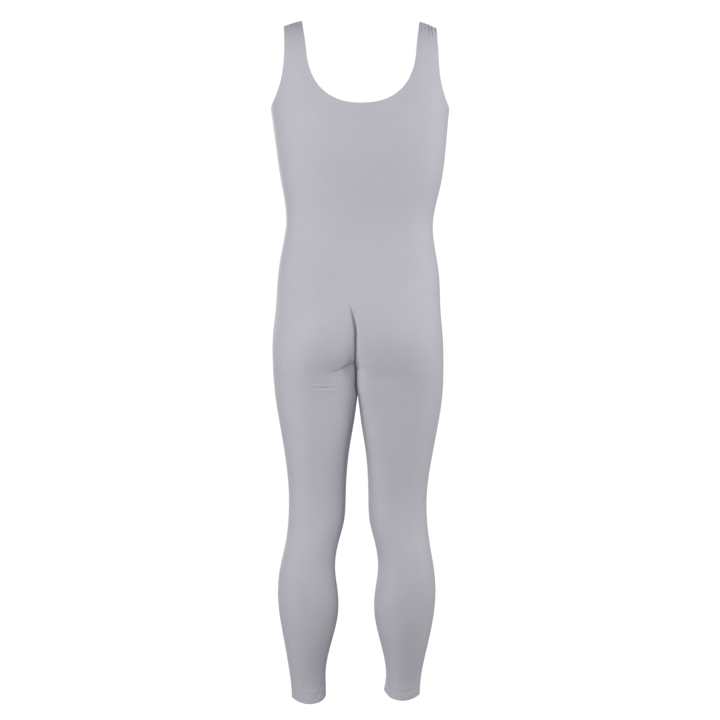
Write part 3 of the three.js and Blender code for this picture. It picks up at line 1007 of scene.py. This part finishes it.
def nylon_jersey():
    """Nylon and elastane jersey, knitted fine and heat-set: a matt face with a soft sheen at its edges.

    Its wales are about 0.55 mm apart and its courses 0.45 mm, too fine to show in the render, so both are
    drawn twice as coarse. The yarn is uneven over a few millimetres, and the dye over a few centimetres.
    """
    wale, course, yarn_uneven, dye_uneven = 1.1 * MM, 0.9 * MM, 6 * MM, 45 * MM
    material, tree = new_material("nylon_jersey")
    places = add_node(tree, "ShaderNodeUVMap", {"uv_map": KNIT_MAP}).outputs["UV"]
    apart = add_node(tree, "ShaderNodeSeparateXYZ", Vector=places)

    def wave(place, length):
        turns = add_node(tree, "ShaderNodeMath", {"operation": "MULTIPLY"}, _0=place, _1=2 * math.pi / length)
        return add_node(tree, "ShaderNodeMath", {"operation": "SINE"}, _0=turns.outputs[0]).outputs[0]

    wales = wave(apart.outputs["X"], wale)
    courses = wave(apart.outputs["Y"], course)
    loops = add_node(tree, "ShaderNodeMath", {"operation": "MULTIPLY_ADD"}, _0=courses, _1=0.35, _2=wales)
    uneven = add_node(
        tree, "ShaderNodeTexNoise", Vector=places, Scale=1 / yarn_uneven, Detail=3.0, Roughness=0.6)
    knit = add_node(
        tree, "ShaderNodeMath", {"operation": "MULTIPLY_ADD"},
        _0=uneven.outputs["Fac"], _1=1.6, _2=loops.outputs[0])
    bump = add_node(tree, "ShaderNodeBump", Strength=0.25, Distance=0.06 * MM, Height=knit.outputs[0])
    cloudy = add_node(
        tree, "ShaderNodeTexNoise", Vector=places, Scale=1 / dye_uneven, Detail=4.0, Roughness=0.55)
    shade = add_node(
        tree, "ShaderNodeMapRange", Value=cloudy.outputs["Fac"], From_Min=0.3, From_Max=0.7, To_Max=0.35)
    colour = add_node(
        tree, "ShaderNodeMix", {"data_type": "RGBA"},
        Factor=shade.outputs["Result"], _6=linear(JERSEY_GREY), _7=linear(JERSEY_SHADE))
    shader = add_node(
        tree, "ShaderNodeBsdfPrincipled", Base_Color=colour.outputs[2], Roughness=0.68, IOR=1.53,
        Sheen_Weight=0.18, Sheen_Roughness=0.45, Normal=bump.outputs["Normal"])
    return finish_material(material, shader)


def nylon_thread():
    """Textured nylon sewing thread, dyed the jersey's grey: two fine twisted yarns. Its colour is drawn
    lighter than the jersey's, as painted highlight for the light that the stitches catch.
    """
    twist = 0.5 * MM
    material, tree = new_material("nylon_thread")
    places = add_node(tree, "ShaderNodeTexCoord").outputs["Object"]
    plies = add_node(
        tree, "ShaderNodeTexWave", {"bands_direction": "DIAGONAL"}, Vector=places,
        Scale=1 / (twist * 2 * math.pi), Distortion=1.0, Detail=1.0)
    bump = add_node(tree, "ShaderNodeBump", Strength=0.3, Distance=0.05 * MM, Height=plies.outputs["Fac"])
    shader = add_node(
        tree, "ShaderNodeBsdfPrincipled", Base_Color=linear(THREAD_HIGHLIGHT_GREY), Roughness=0.55, IOR=1.53,
        Sheen_Weight=0.1, Normal=bump.outputs["Normal"])
    return finish_material(material, shader)


def painted_cove():
    """Matt white emulsion on a studio cove. Its evenly lit white is given as light of its own."""
    material, tree = new_material("painted_cove")
    shader = add_node(
        tree, "ShaderNodeBsdfPrincipled", Base_Color=(0, 0, 0, 1), Roughness=0.9,
        Specular_IOR_Level=0.0, Emission_Color=linear(COVE_WHITE), Emission_Strength=1.1)
    return finish_material(material, shader)


# The camera, level with the garment's middle and square to its back
CAMERA_DISTANCE = 4.5
CAMERA_ACROSS = -0.0041
CAMERA_HEIGHT = -0.688
FRAME_WIDE = 1.4652         # what the picture's width shows at the garment
CAMERA_ROLL = 0.40          # in degrees
SENSOR_WIDE = 36            # in millimetres


def make_camera():
    data = bpy.data.cameras.new("camera")
    data.sensor_width = SENSOR_WIDE
    data.lens = SENSOR_WIDE * CAMERA_DISTANCE / FRAME_WIDE
    camera = add_object("camera", data)
    facing = Matrix.Rotation(math.pi, 4, "Z") @ Matrix.Rotation(QUARTER, 4, "X")
    roll = Matrix.Rotation(math.radians(CAMERA_ROLL), 4, "Z")
    place = Matrix.Translation((CAMERA_ACROSS, CAMERA_DISTANCE, CAMERA_HEIGHT))
    camera.matrix_world = place @ facing @ roll
    bpy.context.scene.camera = camera


# Soft lights: where each stands, what it points at and its power in watts
LIGHTS = [
    ("key_behind", (0.57, 2.13, 0.00), (0, 0, -0.35), 18.8),
    ("key_left", (1.91, 1.10, -0.60), (0, 0, -0.60), 14.4),
    ("side_right", (-2.17, 0.38, 0.00), (0, 0, -0.35), 26.4),
    ("front_key", (0.85, -2.10, 0.00), (0, 0, -0.40), 26),
]
LIGHT_WIDE = 1.0
WORLD_LIGHT = 0.307
FLOOR_BELOW_HEMS = 0.09


def make_lights():
    for name, place, aim, watts in LIGHTS:
        data = bpy.data.lights.new(name, "AREA")
        data.size, data.energy = LIGHT_WIDE, watts
        lamp = add_object(name, data)
        lamp.location = place
        lamp.rotation_euler = (Vector(aim) - Vector(place)).to_track_quat("-Z", "Y").to_euler()
        lamp.visible_camera = False
    world = bpy.data.worlds.new("studio")
    world.use_nodes = True
    background = world.node_tree.nodes["Background"].inputs
    background["Color"].default_value = (1, 1, 1, 1)
    background["Strength"].default_value = WORLD_LIGHT
    bpy.context.scene.world = world


def make_cove(cad_low):
    """A pale floor that curves up into a wall all round, well beyond the camera."""
    floor_radius, bend_radius, wall_height = 6.0, 3.0, 12.0
    sides, bend_steps = 96, 12
    floor_height = cad_low[2] - FLOOR_BELOW_HEMS
    profile = [(floor_radius * 0.5, 0.0), (floor_radius, 0.0)]
    for step in range(1, bend_steps + 1):
        turn = QUARTER * step / bend_steps
        profile.append((floor_radius + bend_radius * math.sin(turn), bend_radius * (1 - math.cos(turn))))
    profile.append((floor_radius + bend_radius, wall_height))
    points = []
    for radius, height in profile:
        for side in range(sides):
            turn = 2 * math.pi * side / sides
            points.append((radius * math.cos(turn), radius * math.sin(turn), floor_height + height))
    faces = tube_sides(len(profile), sides)
    faces.append(tuple(range(sides)))
    cove = smooth_mesh("studio_cove", points, faces, painted_cove())
    cove.visible_diffuse = False
    cove.visible_glossy = False


def make_unitard():
    jersey, thread = nylon_jersey(), nylon_thread()
    for face in ("back", "front"):
        for half in ("left", "right"):
            panel = make_panel(half, face, jersey)
            sewn_on = []
            for which in ("neck", "armhole", "hem"):
                sewn_on.append(turned_edge(half, face, which, jersey))
                sewn_on.append(edge_stitches(half, face, which, thread))
            if face == "back":
                sewn_on.append(shoulder_stitches(half, thread))
            for piece in (panel, *sewn_on):
                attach(piece, "root")
            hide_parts(f"{face}_{half}")


make_camera()
make_lights()
make_unitard()
make_cove(cad_box[0])
bpy.context.scene.view_settings.view_transform = "Standard"
